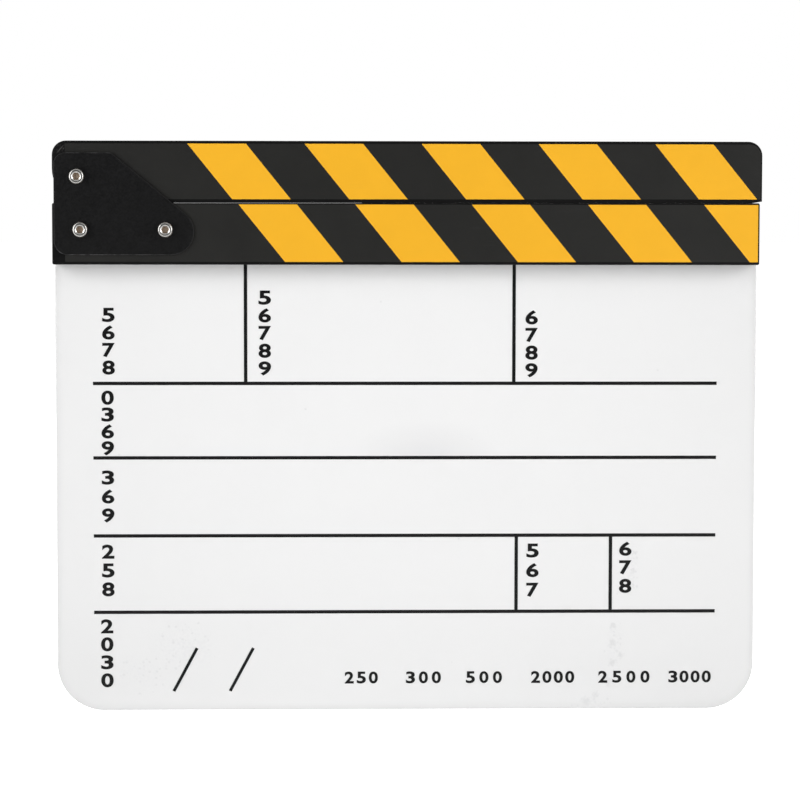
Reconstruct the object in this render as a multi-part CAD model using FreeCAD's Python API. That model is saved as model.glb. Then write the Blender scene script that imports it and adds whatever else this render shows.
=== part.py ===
import FreeCAD, Part
import math
import os

from FreeCAD import Vector

# A clapperboard: an acrylic slate with a fixed stick across its top and a second stick hinged above it.
# X runs to the right along the sticks, Z up, and the written side faces -Y.
# The origin is the middle of the slate's bottom edge, halfway through the sheet. Lengths are millimetres.

# Slate board
board_width = 300.0
board_thickness = 3.0
board_visible_height = 191.9
board_corner_radius = 20.0
board_top_corner_radius = 3.0
board_top_drop = 0.4
board_edge_radius = 0.4

# Sticks, set back from the board's middle towards the hinge
lower_stick_height = 26.0
upper_stick_height = 26.3
stick_thickness = 10.0
stick_edge_radius = 0.4
stick_setback = 0.3
lower_corner_radius = 0.8
upper_overreach = 1.0
upper_corner_radius = 6.0
upper_tip_radius = 0.6
heel_radius = 14.5

# Closing faces: they climb a little towards the tip, and the upper one is relieved
# over its hinge half and eased off at the tip, so that the sticks strike between the two
closing_rise = 0.25
closed_gap = 0.005
heel_relief = 0.06
heel_relief_length = 131.0
tip_relief = 0.55
tip_relief_length = 3.3

# Striped films on the sticks
film_thickness = 0.2
film_inset = 1.2
lower_film_closing_inset = 0.5
upper_film_closing_inset = 1.6
film_tip_inset = 0.7
film_hinge_inset = 5.5
film_corner_radius = 0.3
upper_stripe_pitch = 49.55
lower_stripe_pitch = 49.38
stripe_width_share = 0.5
stripe_lean_angle = 38.9
upper_stripe_start = 77.37
lower_stripe_start = 78.33

# Printed rules: places as shares of the board's visible height and of the ruled width
ink_thickness = 0.1
rule_width = 1.45
rule_left_margin = 15.8
rule_right_margin = 16.75
row_rule_shares = (0.221, 0.393, 0.568, 0.7345)
top_column_shares = (0.2438, 0.6735)
low_column_shares = (0.6785, 0.8306)
stroke_width = 1.3
stroke_left_shares = (0.1273, 0.2178)
stroke_bottom_share = 0.0425
stroke_top_share = 0.1397
stroke_lean_share = 0.0375

# Hinge plates
plate_thickness = 1.2
plate_end_margin = 0.8
plate_bottom_margin = 4.1
plate_top_margin = 5.1
plate_top_edge = 24.2
plate_right_margin = 12.0
plate_end_radius = 9.8
plate_top_corner_radius = 4.8
plate_foot_corner_radius = 6.0
plate_shoulder_radius = 3.0
plate_edge_radius = 0.35

# Pivot and bolt places
pivot_from_end = 10.7
open_clearance = 0.5
stick_bolt_from_end = 12.1
stick_bolt_spacing = 35.85
stick_bolt_drop = 11.2

# Socket head bolts
bolt_diameter = 4.0
bolt_clearance = 0.15
bolt_end_reach = 2.0
bolt_end_chamfer = 0.4
thread_length = 11.0
thread_pitch = 0.7
thread_depth = 0.35
head_diameter = 6.4
head_height = 4.0
head_crown_height = 0.8
head_edge_radius = 0.6
socket_width = 3.0
socket_depth = 2.0
socket_mouth_diameter = 4.1
socket_mouth_depth = 0.32
knurl_count = 36
knurl_depth = 0.12

# Lock nuts and washers
nut_width = 7.0
nut_hex_height = 3.6
nut_collar_height = 1.4
nut_collar_diameter = 6.2
nut_collar_wall = 0.5
nut_thread_clearance = 0.05
insert_recess = 0.2
washer_diameter = 9.0
washer_thickness = 0.8

# Pivot bush, washer and spacer
bush_wall = 1.0
bush_running_clearance = 0.05
bush_seat_clearance = 0.02
slip_washer_diameter = 12.0
slip_washer_thickness = 0.5
side_play = 0.1

# Screws that hold the board to the lower stick
screw_count = 3
screw_from_tip = 15.0
screw_diameter = 3.5
screw_bite = 7.5
screw_tip_length = 2.0
screw_tip_radius = 0.3
screw_clearance = 0.1
screw_head_diameter = 6.8
screw_head_height = 2.4
screw_head_round = 1.4
screw_slot_length = 3.8
screw_slot_width = 0.9
screw_slot_depth = 1.3
screw_washer_diameter = 8.0
screw_washer_thickness = 0.6

# All cuts run past the solid by this much
cut_overrun = 1.0
# A rim edge is one that lies flat in Y to within this
flat_tolerance = 0.0001

# Levels and faces worked out from the sizes above
board_front = -board_thickness / 2
board_back = board_thickness / 2
lower_bottom = board_visible_height
lower_top = lower_bottom + lower_stick_height
lower_front = board_front - stick_thickness
lower_film_front = lower_front - film_thickness
lower_stick_length = board_width
hinge_end = -lower_stick_length / 2 - stick_setback
lower_tip = hinge_end + lower_stick_length
upper_tip = lower_tip + upper_overreach
upper_bottom = lower_top + closed_gap
upper_top = upper_bottom + upper_stick_height
front_plate_back = lower_film_front
front_plate_front = front_plate_back - plate_thickness
rear_plate_front = board_back
rear_plate_back = rear_plate_front + plate_thickness
upper_film_front = front_plate_back + slip_washer_thickness + side_play
upper_front = upper_film_front + film_thickness
upper_back = upper_front + stick_thickness
nut_front = rear_plate_back + washer_thickness
nut_height = nut_hex_height + nut_collar_height
bolt_end = nut_front + nut_height + bolt_end_reach
bolt_hole_diameter = bolt_diameter + 2 * bolt_clearance
bush_bore = bolt_diameter + 2 * bush_running_clearance
bush_diameter = bush_bore + 2 * bush_wall
screw_hole_diameter = screw_diameter + 2 * screw_clearance

# The pivot is high enough for the heel to clear the lower stick at a right angle
pivot_place = (hinge_end + pivot_from_end, lower_top + pivot_from_end + open_clearance)
stick_bolt_level = lower_top - stick_bolt_drop
left_bolt_place = (hinge_end + stick_bolt_from_end, stick_bolt_level)
right_bolt_place = (left_bolt_place[0] + stick_bolt_spacing, stick_bolt_level)
stick_bolt_places = (left_bolt_place, right_bolt_place)
screw_level = lower_bottom + lower_stick_height / 2
screw_pitch = (lower_tip - screw_from_tip - right_bolt_place[0]) / screw_count
screw_places = [(right_bolt_place[0] + (i + 1) * screw_pitch, screw_level) for i in range(screw_count)]


# Shapes that several pieces share

def rounded_outline(corners, radii, y):
    # A closed outline in the X-Z plane at y: straight runs joined by tangent arcs.
    points = [Vector(x, y, z) for x, z in corners]
    arcs = []
    for i, corner in enumerate(points):
        back = (points[i - 1] - corner).normalize()
        ahead = (points[(i + 1) % len(points)] - corner).normalize()
        half_angle = back.getAngle(ahead) / 2
        reach = radii[i] / math.tan(half_angle)
        inward = (back + ahead).normalize()
        crown = corner + inward * (radii[i] / math.sin(half_angle) - radii[i])
        arcs.append((corner + back * reach, crown, corner + ahead * reach))
    edges = []
    for i, (start, crown, end) in enumerate(arcs):
        following = arcs[(i + 1) % len(arcs)][0]
        edges.append(Part.Arc(start, crown, end).toShape())
        if end.distanceToPoint(following) > flat_tolerance:
            edges.append(Part.LineSegment(end, following).toShape())
    return Part.Wire(edges)


def box_corners(left, right, bottom, top):
    return [(left, bottom), (right, bottom), (right, top), (left, top)]


def slab(corners, radii, front, back):
    face = Part.Face(rounded_outline(corners, radii, front))
    return face.extrude(Vector(0, back - front, 0))


def sharp_slab(corners, front, back):
    points = [Vector(x, front, z) for x, z in corners]
    face = Part.Face(Part.makePolygon(points + points[:1]))
    return face.extrude(Vector(0, back - front, 0))


def round_rims(solid, radius):
    rims = [edge for edge in solid.Edges if edge.BoundBox.YLength < flat_tolerance]
    return solid.makeFillet(radius, rims)


def rod(place, diameter, front, back):
    return Part.makeCylinder(diameter / 2, back - front, Vector(place[0], front, place[1]), Vector(0, 1, 0))


def ring(place, outer, inner, front, back):
    return rod(place, outer, front, back).cut(rod(place, inner, front - cut_overrun, back + cut_overrun))


def drilled(solid, places, diameter):
    low = solid.BoundBox.YMin - cut_overrun
    high = solid.BoundBox.YMax + cut_overrun
    return solid.cut([rod(place, diameter, low, high) for place in places])


def turned(place, profile):
    # Turns a profile of (radius, y) points round an axis along Y.
    points = [Vector(place[0] + radius, y, place[1]) for radius, y in profile]
    face = Part.Face(Part.makePolygon(points + points[:1]))
    return face.revolve(Vector(place[0], 0, place[1]), Vector(0, 1, 0), 360)


def regular_slab(place, radii, front, back):
    # A prism on a regular star or polygon: one corner for each radius, evenly spaced.
    turn = 2 * math.pi / len(radii)
    corners = []
    for i, radius in enumerate(radii):
        corners.append((place[0] + radius * math.cos(i * turn), place[1] + radius * math.sin(i * turn)))
    return sharp_slab(corners, front, back)


def hexagon(place, width, front, back):
    return regular_slab(place, [width / math.sqrt(3)] * 6, front, back)


# Slate

def slate_board():
    side = board_width / 2
    top = lower_top - board_top_drop
    corners = box_corners(-side, side, 0, top)
    radii = [board_corner_radius, board_corner_radius, board_top_corner_radius, board_top_corner_radius]
    sheet = round_rims(slab(corners, radii, board_front, board_back), board_edge_radius)
    sheet = drilled(sheet, stick_bolt_places, bolt_hole_diameter)
    return drilled(sheet, screw_places, screw_hole_diameter)


def printed_bar(start, end, width):
    # A straight printed line between two points, with blunt ends.
    along = Vector(end[0] - start[0], 0, end[1] - start[1]).normalize()
    across = Vector(along.z, 0, -along.x) * (width / 2)
    sides = [(start, 1), (end, 1), (end, -1), (start, -1)]
    corners = [(place[0] + side * across.x, place[1] + side * across.z) for place, side in sides]
    return sharp_slab(corners, board_front - ink_thickness, board_front)


def slate_grid_print():
    left = -board_width / 2 + rule_left_margin
    ruled_width = board_width - rule_left_margin - rule_right_margin
    levels = [share * board_visible_height for share in row_rule_shares]
    rules = [printed_bar((left, level), (left + ruled_width, level), rule_width) for level in levels]
    for share in top_column_shares:
        x = left + share * ruled_width
        rules.append(printed_bar((x, levels[-1]), (x, lower_bottom), rule_width))
    for share in low_column_shares:
        x = left + share * ruled_width
        rules.append(printed_bar((x, levels[0]), (x, levels[1]), rule_width))
    strokes = []
    for share in stroke_left_shares:
        x = left + share * ruled_width
        foot = (x, stroke_bottom_share * board_visible_height)
        head = (x + stroke_lean_share * ruled_width, stroke_top_share * board_visible_height)
        strokes.append(printed_bar(foot, head, stroke_width))
    joined = rules[0].multiFuse(rules[1:]).removeSplitter()
    return Part.makeCompound(joined.Solids + strokes)


# Sticks

def lower_level(x):
    # Height of the lower stick's closing face.
    return lower_top + closing_rise * (x - hinge_end) / lower_stick_length


def upper_level(x):
    # Height of the upper stick's closing face, where it isn't hollowed.
    return lower_level(x) + closed_gap


def lower_stick():
    tip_corner = (lower_tip, lower_level(lower_tip))
    corners = [(hinge_end, lower_bottom), (lower_tip, lower_bottom), tip_corner, (hinge_end, lower_top)]
    stick = slab(corners, [lower_corner_radius] * 4, lower_front, board_front)
    stick = round_rims(stick, stick_edge_radius)
    stick = drilled(stick, stick_bolt_places, bolt_hole_diameter)
    pilot_end = board_front - screw_bite - cut_overrun
    mouth = board_front + cut_overrun
    return stick.cut([rod(place, screw_hole_diameter, pilot_end, mouth) for place in screw_places])


def upper_outline(inset, closing_inset, tip_inset, tip_radius):
    # The upper stick's outline, or one that lies inside it by the insets.
    left = hinge_end + inset
    right = upper_tip - tip_inset
    top = upper_top - inset
    heel_corner = (left, upper_level(left) + closing_inset)
    tip_corner = (right, upper_level(right) + closing_inset)
    corners = [heel_corner, tip_corner, (right, top), (left, top)]
    corner_radius = upper_corner_radius - inset
    heel = min(heel_radius, upper_stick_height - upper_corner_radius) - inset
    return corners, [heel, tip_radius, corner_radius, corner_radius]


def closing_hollow(start, start_depth, end, end_depth):
    # A cut into the upper stick's closing face, with a depth at each end.
    corners = [
        (start, upper_level(start) - cut_overrun),
        (end, upper_level(end) - cut_overrun),
        (end, upper_level(end) + end_depth),
        (start, upper_level(start) + start_depth),
    ]
    return sharp_slab(corners, upper_front - cut_overrun, upper_back + cut_overrun)


def upper_stick():
    corners, radii = upper_outline(0, 0, 0, upper_tip_radius)
    stick = round_rims(slab(corners, radii, upper_front, upper_back), stick_edge_radius)
    stick = drilled(stick, [pivot_place], bush_diameter + 2 * bush_seat_clearance)
    heel_hollow = closing_hollow(hinge_end, heel_relief, hinge_end + heel_relief_length, heel_relief)
    tip_start = lower_tip - tip_relief_length
    tip_end = upper_tip + cut_overrun
    tip_depth = tip_relief * (tip_end - tip_start) / tip_relief_length
    return stick.cut([heel_hollow, closing_hollow(tip_start, 0, tip_end, tip_depth)])


# Striped films

def stripes(start, pitch, bottom, top, front, back):
    # Slanted bars whose left edges cross the closing line at even steps, up to the free end.
    lean = math.tan(math.radians(stripe_lean_angle))
    width = pitch * stripe_width_share
    count = math.ceil((lower_stick_length - start) / pitch)
    bars = []
    for i in range(count):
        left = hinge_end + start + i * pitch
        foot = left - (bottom - lower_top) * lean
        head = left - (top - lower_top) * lean
        corners = [(foot, bottom), (foot + width, bottom), (head + width, top), (head, top)]
        bars.append(sharp_slab(corners, front, back))
    return bars


def split_film(film, start, pitch):
    # The dark film with windows, and the yellow stripes that fill them.
    box = film.BoundBox
    low = box.ZMin - cut_overrun
    high = box.ZMax + cut_overrun
    bars = stripes(start, pitch, low, high, box.YMin, box.YMax)
    inlays = [film.common(bar) for bar in bars]
    return film.cut(bars), Part.makeCompound([solid for inlay in inlays for solid in inlay.Solids])


def lower_films():
    left = hinge_end + film_hinge_inset
    right = lower_tip - film_tip_inset
    bottom = lower_bottom + film_inset
    top = lower_top - lower_film_closing_inset
    corners = box_corners(left, right, bottom, top)
    film = slab(corners, [film_corner_radius] * 4, lower_film_front, lower_front)
    film = drilled(film, stick_bolt_places, bolt_hole_diameter)
    return split_film(film, lower_stripe_start, lower_stripe_pitch)


def upper_films():
    corners, radii = upper_outline(film_inset, upper_film_closing_inset, film_tip_inset, film_corner_radius)
    film = slab(corners, radii, upper_film_front, upper_front)
    left = hinge_end + film_hinge_inset
    low = upper_bottom - cut_overrun
    high = upper_top + cut_overrun
    beyond = box_corners(hinge_end - cut_overrun, left, low, high)
    film = film.cut(sharp_slab(beyond, upper_film_front - cut_overrun, upper_front + cut_overrun))
    film = drilled(film, [pivot_place], bush_diameter + 2 * bush_seat_clearance)
    return split_film(film, upper_stripe_start, upper_stripe_pitch)


# Hinge plates

def hinge_plate(front, back):
    left = hinge_end + plate_end_margin
    bottom = lower_bottom + plate_bottom_margin
    top = upper_top - plate_top_margin
    shoulder = left + plate_top_edge
    # The slanted side runs from the shoulder and touches the round end at the right.
    end_x = right_bolt_place[0] + plate_right_margin - plate_end_radius
    end_z = bottom + plate_end_radius
    run = end_x - shoulder
    fall = top - end_z
    slant = math.atan2(fall, run) - math.asin(plate_end_radius / math.hypot(run, fall))
    corner_x = shoulder + (top - bottom) / math.tan(slant)
    corners = [(left, bottom), (corner_x, bottom), (shoulder, top), (left, top)]
    top_radii = [plate_shoulder_radius, plate_top_corner_radius]
    radii = [plate_foot_corner_radius, plate_end_radius, *top_radii]
    plate = round_rims(slab(corners, radii, front, back), plate_edge_radius)
    return drilled(plate, [pivot_place, *stick_bolt_places], bolt_hole_diameter)


# Bolts, nuts and washers

def bolt_shank(place):
    # Plain shank, then ring grooves for the thread, then a chamfered end.
    radius = bolt_diameter / 2
    thread_start = bolt_end - bolt_end_chamfer - thread_length
    profile = [(0, front_plate_front), (radius, front_plate_front), (radius, thread_start)]
    for i in range(int(thread_length / thread_pitch)):
        crest = thread_start + i * thread_pitch
        profile.append((radius - thread_depth, crest + thread_pitch / 2))
        profile.append((radius, crest + thread_pitch))
    profile += [(radius, bolt_end - bolt_end_chamfer), (radius - bolt_end_chamfer, bolt_end), (0, bolt_end)]
    return turned(place, profile)


def bolt_head(place):
    # A knurled drum under a plain crown with a rounded rim, and a hexagon socket with a flared mouth.
    front = front_plate_front - head_height
    crown_back = front + head_crown_height
    crown = rod(place, head_diameter - 2 * knurl_depth, front, crown_back)
    rim = [edge for edge in crown.Edges if edge.BoundBox.YMax < front + flat_tolerance]
    crown = crown.makeFillet(head_edge_radius, rim)
    ridges = [head_diameter / 2, head_diameter / 2 - knurl_depth] * knurl_count
    drum = regular_slab(place, ridges, crown_back, front_plate_front)
    socket = hexagon(place, socket_width, front - cut_overrun, front + socket_depth)
    flare_back = front + socket_mouth_depth
    mouth = turned(place, [
        (0, front),
        (socket_mouth_diameter / 2, front),
        (socket_width / 2, flare_back),
        (0, flare_back),
    ])
    return crown.fuse(drum).cut([socket, mouth])


def bolt(place):
    return bolt_head(place).fuse(bolt_shank(place))


def lock_nut(place):
    hex_back = nut_front + nut_hex_height
    corner = nut_width / math.sqrt(3)
    chamfer = corner - nut_width / 2
    profile = [
        (0, nut_front),
        (nut_width / 2, nut_front),
        (corner, nut_front + chamfer),
        (corner, hex_back - chamfer),
        (nut_width / 2, hex_back),
        (0, hex_back),
    ]
    body = hexagon(place, nut_width, nut_front, hex_back).common(turned(place, profile))
    body = body.fuse(rod(place, nut_collar_diameter, hex_back, hex_back + nut_collar_height))
    body = drilled(body, [place], bolt_diameter + 2 * nut_thread_clearance)
    pocket = nut_collar_diameter - 2 * nut_collar_wall
    return body.cut(rod(place, pocket, hex_back, hex_back + nut_collar_height + cut_overrun))


def nut_insert(place):
    pocket = nut_collar_diameter - 2 * nut_collar_wall
    front = nut_front + nut_hex_height
    back = front + nut_collar_height - insert_recess
    return ring(place, pocket, bolt_diameter + 2 * nut_thread_clearance, front, back)


def nut_washer(place):
    return ring(place, washer_diameter, bolt_hole_diameter, rear_plate_back, nut_front)


def pivot_bush():
    return ring(pivot_place, bush_diameter, bush_bore, upper_film_front, upper_back)


def pivot_front_washer():
    back = front_plate_back + slip_washer_thickness
    return ring(pivot_place, slip_washer_diameter, bolt_hole_diameter, front_plate_back, back)


def pivot_rear_spacer():
    front = upper_back + side_play
    return ring(pivot_place, slip_washer_diameter, bolt_hole_diameter, front, rear_plate_front)


# Screws behind the board

def board_screw(place):
    seat = board_back + screw_washer_thickness
    tip = board_front - screw_bite
    radius = screw_diameter / 2
    shank = turned(place, [
        (0, tip),
        (screw_tip_radius, tip),
        (radius, tip + screw_tip_length),
        (radius, seat),
        (0, seat),
    ])
    head_back = seat + screw_head_height
    head = rod(place, screw_head_diameter, seat, head_back)
    crown = [edge for edge in head.Edges if edge.BoundBox.YMin > head_back - flat_tolerance]
    head = head.makeFillet(min(screw_head_round, screw_head_height), crown)
    across = screw_slot_width / 2
    along = screw_slot_length / 2
    for half_x, half_z in ((along, across), (across, along)):
        corners = box_corners(place[0] - half_x, place[0] + half_x, place[1] - half_z, place[1] + half_z)
        head = head.cut(sharp_slab(corners, head_back - screw_slot_depth, head_back + cut_overrun))
    return head.fuse(shank)


def board_screw_washer(place):
    back = board_back + screw_washer_thickness
    return ring(place, screw_washer_diameter, screw_hole_diameter, board_back, back)


def group(make, places):
    return Part.makeCompound([make(place) for place in places])


def build():
    lower_dark, lower_yellow = lower_films()
    upper_dark, upper_yellow = upper_films()
    return {
        "slate_board": slate_board(),
        "slate_grid_print": slate_grid_print(),
        "lower_stick": lower_stick(),
        "lower_stripe_film": lower_dark,
        "lower_yellow_stripes": lower_yellow,
        "upper_stick": upper_stick(),
        "upper_stripe_film": upper_dark,
        "upper_yellow_stripes": upper_yellow,
        "front_hinge_plate": hinge_plate(front_plate_front, front_plate_back),
        "rear_hinge_plate": hinge_plate(rear_plate_front, rear_plate_back),
        "pivot_bolt": bolt(pivot_place),
        "pivot_bush": pivot_bush(),
        "pivot_front_washer": pivot_front_washer(),
        "pivot_rear_spacer": pivot_rear_spacer(),
        "pivot_nut_washer": nut_washer(pivot_place),
        "pivot_nut": lock_nut(pivot_place),
        "pivot_nut_insert": nut_insert(pivot_place),
        "stick_bolts": group(bolt, stick_bolt_places),
        "stick_nut_washers": group(nut_washer, stick_bolt_places),
        "stick_nuts": group(lock_nut, stick_bolt_places),
        "stick_nut_inserts": group(nut_insert, stick_bolt_places),
        "board_screws": group(board_screw, screw_places),
        "board_screw_washers": group(board_screw_washer, screw_places),
    }


os.makedirs("parts", exist_ok=True)
for node, shape in build().items():
    shape.exportStep("parts/" + node + ".step")
    print(node, len(shape.Solids), "solids", round(shape.Volume, 1), "mm3", shape.isValid())
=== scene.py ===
import math

import bmesh
import bpy
from mathutils import Matrix, Quaternion, Vector


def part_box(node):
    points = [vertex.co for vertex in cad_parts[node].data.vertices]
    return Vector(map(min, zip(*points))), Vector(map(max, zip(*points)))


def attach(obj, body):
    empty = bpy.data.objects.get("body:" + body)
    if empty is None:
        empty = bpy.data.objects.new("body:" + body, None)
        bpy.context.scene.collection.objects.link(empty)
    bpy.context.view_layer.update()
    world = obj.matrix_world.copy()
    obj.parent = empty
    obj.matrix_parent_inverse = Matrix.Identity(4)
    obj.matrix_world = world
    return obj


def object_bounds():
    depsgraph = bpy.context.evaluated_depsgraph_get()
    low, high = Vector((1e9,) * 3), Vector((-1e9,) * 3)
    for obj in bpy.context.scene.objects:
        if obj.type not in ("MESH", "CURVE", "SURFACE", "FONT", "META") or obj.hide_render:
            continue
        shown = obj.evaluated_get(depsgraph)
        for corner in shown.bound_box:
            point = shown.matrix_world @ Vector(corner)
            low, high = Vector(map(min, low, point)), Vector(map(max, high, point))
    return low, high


# Looks of a film clapperboard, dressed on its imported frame.
# Metres, X to the right along the sticks, Z up, the written side faces -Y.
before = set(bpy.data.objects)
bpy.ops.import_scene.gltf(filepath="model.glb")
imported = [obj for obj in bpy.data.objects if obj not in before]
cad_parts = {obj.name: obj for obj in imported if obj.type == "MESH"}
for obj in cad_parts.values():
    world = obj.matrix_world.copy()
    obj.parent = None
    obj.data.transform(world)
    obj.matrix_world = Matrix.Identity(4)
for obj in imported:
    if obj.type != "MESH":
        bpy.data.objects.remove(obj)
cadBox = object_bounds()
scene = bpy.context.scene
scene.view_settings.view_transform = "Standard"
mm = 0.001


# Node shorthands

def addNode(tree, kind, inputs=None, **settings):
    node = tree.nodes.new(kind)
    for name, value in settings.items():
        setattr(node, name, value)
    for key, value in (inputs or {}).items():
        if isinstance(value, bpy.types.NodeSocket):
            tree.links.new(value, node.inputs[key])
        else:
            node.inputs[key].default_value = value
    return node


def calc(tree, operation, *values):
    return addNode(tree, "ShaderNodeMath", dict(enumerate(values)), operation=operation).outputs[0]


def noise(tree, place, scale, detail=2.0, roughness=0.5):
    inputs = {"Vector": place, "Scale": scale, "Detail": detail, "Roughness": roughness}
    return addNode(tree, "ShaderNodeTexNoise", inputs).outputs["Fac"]


def remap(tree, value, low, high, newLow=0.0, newHigh=1.0):
    inputs = {"Value": value, "From Min": low, "From Max": high, "To Min": newLow, "To Max": newHigh}
    return addNode(tree, "ShaderNodeMapRange", inputs).outputs["Result"]


def mapped(tree, place, scale=(1, 1, 1), turn=(0, 0, 0), shift=(0, 0, 0)):
    inputs = {"Vector": place, "Scale": scale, "Rotation": turn, "Location": shift}
    return addNode(tree, "ShaderNodeMapping", inputs).outputs["Vector"]


def blendColour(tree, factor, first, second, mode="MIX"):
    # a mix of colours takes its factor at input 0 and the two colours at 6 and 7
    inputs = {0: factor, 6: first, 7: second}
    return addNode(tree, "ShaderNodeMix", inputs, data_type="RGBA", blend_type=mode).outputs[2]


def bumped(tree, height, strength, distance):
    inputs = {"Height": height, "Strength": strength, "Distance": distance}
    return addNode(tree, "ShaderNodeBump", inputs).outputs["Normal"]


def separated(tree, vector):
    return addNode(tree, "ShaderNodeSeparateXYZ", {0: vector}).outputs


def lengthOf(tree, vector):
    return addNode(tree, "ShaderNodeVectorMath", {0: vector}, operation="LENGTH").outputs["Value"]


def softSpot(tree, place, middle, reach, lean=0.0):
    # 1 at the middle of an oval, falling evenly to 0 at its edge; it may lean in the plane of the sheet
    inputs = {"Vector": place, "Location": middle, "Scale": reach, "Rotation": (0, -lean, 0)}
    local = addNode(tree, "ShaderNodeMapping", inputs, vector_type="TEXTURE").outputs["Vector"]
    fall = addNode(tree, "ShaderNodeTexGradient", {"Vector": local}, gradient_type="SPHERICAL")
    return fall.outputs["Fac"]


# Surface effects that several finishes share

effects = {
    "finerGrain": 2.6,                    # scale of the second size of pebbling, against the first
    "finerShare": 0.4,
    "drift": (0.25, 0.75),                # noise that gives the darkest and the lightest tone
    "bentNormal": (0.99, 0.8),            # agreement of the rounded and the true normal at a rubbed edge
    "edgePatches": (0.42, 0.6),           # noise over which wear comes in
    "rimLeaves": (0.97, 0.8),             # how squarely a rim faces along Y where it starts to round over
    "rimArrives": (0.05, 0.25),           # and where it has nearly rounded over
    "rimPatches": (0.4, 0.62),
    "slantLoss": 2.0,                     # how much less a slanting rim gets the painted highlight of a topside
    # rims that face up or down over these spans get a painted highlight
    "upwards": (0.1, 0.4),
    "downwards": (-0.1, -0.5),
    "sideways": (0.1, 0.5),
    "sidePatches": (0.3, 0.7, 0.7, 1.0),
    "streakStretch": (0.06, 1.0, 1.0),    # wiped along X, a little on the slant
    "streakTurn": (0, math.radians(9), 0),
    "streaks": (0.6, 0.74),
    "patchScale": 0.03,                   # of the patches of streaks, against the streaks
    "streakPatches": (0.45, 0.7),
    "closedCorner": (0.8, 0.4),           # openness where dirt and painted shade start, and where they are thickest
    "ringWobble": 1.5,
}


def newGroup(name, inputs, output):
    tree = bpy.data.node_groups.new(name, "ShaderNodeTree")
    tree.interface.new_socket("Place", in_out="INPUT", socket_type="NodeSocketVector")
    for label in inputs:
        tree.interface.new_socket(label, in_out="INPUT", socket_type="NodeSocketFloat")
    tree.interface.new_socket(output, in_out="OUTPUT", socket_type="NodeSocketFloat")
    given = tree.nodes.new("NodeGroupInput").outputs
    result = tree.nodes.new("NodeGroupOutput").inputs
    return tree, given, result


def turnedTo(tree):
    # parts of the object's own normal, so that wear turns with its piece
    return separated(tree, addNode(tree, "ShaderNodeTexCoord").outputs["Normal"])


def fineGrainGroup():
    # two sizes of pebbling, for print, vinyl, powder coat and nylon
    tree, given, result = newGroup("fineGrain", ["Scale"], "Height")
    coarse = noise(tree, given["Place"], given["Scale"], detail=1.0)
    fineScale = calc(tree, "MULTIPLY", given["Scale"], effects["finerGrain"])
    fine = noise(tree, given["Place"], fineScale, detail=1.0)
    tree.links.new(calc(tree, "MULTIPLY_ADD", fine, effects["finerShare"], coarse), result["Height"])
    return tree


def mottleGroup():
    # slow drift of tone about 1
    tree, given, result = newGroup("mottle", ["Scale", "Amount"], "Tone")
    drift = noise(tree, given["Place"], given["Scale"], detail=4.0, roughness=0.6)
    swing = remap(tree, drift, *effects["drift"], -1.0, 1.0)
    tree.links.new(calc(tree, "MULTIPLY_ADD", swing, given["Amount"], 1.0), result["Tone"])
    return tree


def edgeWearGroup():
    # rubbed edges: where a rounded normal leaves the true one, broken up by noise
    tree, given, result = newGroup("edgeWear", ["Width", "Breakup", "Amount"], "Mask")
    rounded = addNode(tree, "ShaderNodeBevel", {"Radius": given["Width"]}, samples=6).outputs["Normal"]
    flat = addNode(tree, "ShaderNodeNewGeometry").outputs["True Normal"]
    along = addNode(tree, "ShaderNodeVectorMath", {0: rounded, 1: flat}, operation="DOT_PRODUCT")
    edge = remap(tree, along.outputs["Value"], *effects["bentNormal"])
    breakup = noise(tree, given["Place"], given["Breakup"], detail=4.0, roughness=0.65)
    worn = calc(tree, "MULTIPLY", edge, remap(tree, breakup, *effects["edgePatches"]))
    tree.links.new(calc(tree, "MULTIPLY", worn, given["Amount"]), result["Mask"])
    return tree


def rimWearAndHighlightGroup():
    # rubbed rims of slabs that face along Y where a rim rounds over, and a painted highlight on rims that
    # face up or down
    tree, given, result = newGroup("rimWearAndHighlight", ["Breakup", "Amount", "Topside", "Underside"], "Mask")
    parts = turnedTo(tree)
    squareness = calc(tree, "ABSOLUTE", parts["Y"])
    leaving = remap(tree, squareness, *effects["rimLeaves"])
    arriving = remap(tree, squareness, *effects["rimArrives"])
    rounding = calc(tree, "MULTIPLY", leaving, arriving)
    breakup = noise(tree, given["Place"], given["Breakup"], detail=4.0, roughness=0.65)
    slant = calc(tree, "MULTIPLY", calc(tree, "ABSOLUTE", parts["X"]), effects["slantLoss"])
    # painted highlight on level rims that face up or down
    upwards = remap(tree, calc(tree, "SUBTRACT", parts["Z"], slant), *effects["upwards"])
    downwards = remap(tree, parts["Z"], *effects["downwards"])
    strength = calc(tree, "MULTIPLY_ADD", upwards, given["Topside"], given["Amount"])
    strength = calc(tree, "MULTIPLY_ADD", downwards, given["Underside"], strength)
    worn = calc(tree, "MULTIPLY", rounding, remap(tree, breakup, *effects["rimPatches"]))
    tree.links.new(calc(tree, "MULTIPLY", worn, strength), result["Mask"])
    return tree


def dulledSidesGroup():
    # ends and sides that handling has dulled: where a surface turns to the left or right
    tree, given, result = newGroup("dulledSides", ["Breakup", "Amount"], "Roughness")
    turned = remap(tree, calc(tree, "ABSOLUTE", turnedTo(tree)["X"]), *effects["sideways"])
    patches = remap(tree, noise(tree, given["Place"], given["Breakup"]), *effects["sidePatches"])
    dulled = calc(tree, "MULTIPLY", turned, patches)
    tree.links.new(calc(tree, "MULTIPLY", dulled, given["Amount"]), result["Roughness"])
    return tree


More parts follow.
